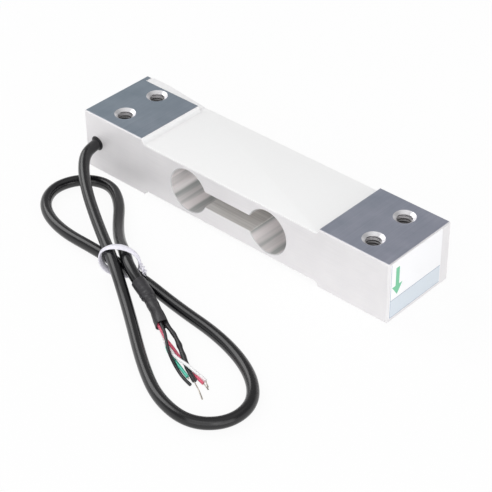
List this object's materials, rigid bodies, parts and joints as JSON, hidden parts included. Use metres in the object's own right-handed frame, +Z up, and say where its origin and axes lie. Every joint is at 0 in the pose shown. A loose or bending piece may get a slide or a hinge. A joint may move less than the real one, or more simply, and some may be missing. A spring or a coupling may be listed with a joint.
{
  "type": "single point load cell",
  "caption": "Aluminium single point load cell: recessed bending beam with a binocular hole, tapped mounting pads, and a tied screened cable with free leads.",
  "frame": {"origin": "middle of the beam's underside, on the plane of its two lower pads", "axes": "+X along the beam from the cable end to the loaded end, +Z up, -Y the side that the cable leaves"},
  "size_m": [0.1301, 0.1035, 0.022],
  "materials": {
    "aluminium_alloy": "satin milled",
    "cable_jacket": "satin extruded PVC",
    "black_sealant": "satin",
    "heat_shrink": "matte polyolefin",
    "black_sleeving": "satin",
    "red_insulation": "satin PVC",
    "black_insulation": "satin PVC",
    "green_insulation": "satin PVC",
    "white_insulation": "satin PVC",
    "tinned_copper": "bright tinned strands",
    "tie_coating": "satin PVC",
    "label_film": "matte polyester film",
    "polyimide": "amber film",
    "foil_alloy": "rolled foil",
    "board_laminate": "glass-epoxy laminate",
    "resistor_body": "ceramic chip",
    "cover_film": "matte film",
    "white_sealant": "silicone"
  },
  "bodies": {
    "root": {"bare_tip_green": "tinned_copper", "bare_tip_red": "tinned_copper", "bare_tip_white": "tinned_copper", "bridge_link_1": "white_insulation", "bridge_link_2": "white_insulation", "cable_seal": "black_sealant", "channel_sealant": "white_sealant", "core_black": "black_insulation", "core_green": "green_insulation", "core_red": "red_insulation", "core_white": "white_insulation", "drain_sleeve": "black_sleeving", "drain_wire": "tinned_copper", "gauge_carrier_1": "polyimide", "gauge_carrier_2": "polyimide", "gauge_carrier_3": "polyimide", "gauge_carrier_4": "polyimide", "gauge_grid_1": "foil_alloy", "gauge_grid_2": "foil_alloy", "gauge_grid_3": "foil_alloy", "gauge_grid_4": "foil_alloy", "heat_shrink_sleeve": "heat_shrink", "jumper_1": "foil_alloy", "jumper_2": "foil_alloy", "jumper_3": "foil_alloy", "jumper_4": "foil_alloy", "jumper_5": "foil_alloy", "jumper_6": "foil_alloy", "jumper_7": "foil_alloy", "jumper_8": "foil_alloy", "label": "label_film", "lead_black": "black_insulation", "lead_green": "green_insulation", "lead_red": "red_insulation", "lead_white": "white_insulation", "load_cell_body": "aluminium_alloy", "lower_cover_film": "cover_film", "lower_sealant": "white_sealant", "signal_cable": "cable_jacket", "terminal_board_lower": "board_laminate", "terminal_board_upper": "board_laminate", "tie_ring": "tie_coating", "tie_twist": "tie_coating", "trim_resistor": "resistor_body", "upper_cover_film": "cover_film", "upper_sealant": "white_sealant"}
  },
  "joints": []
}
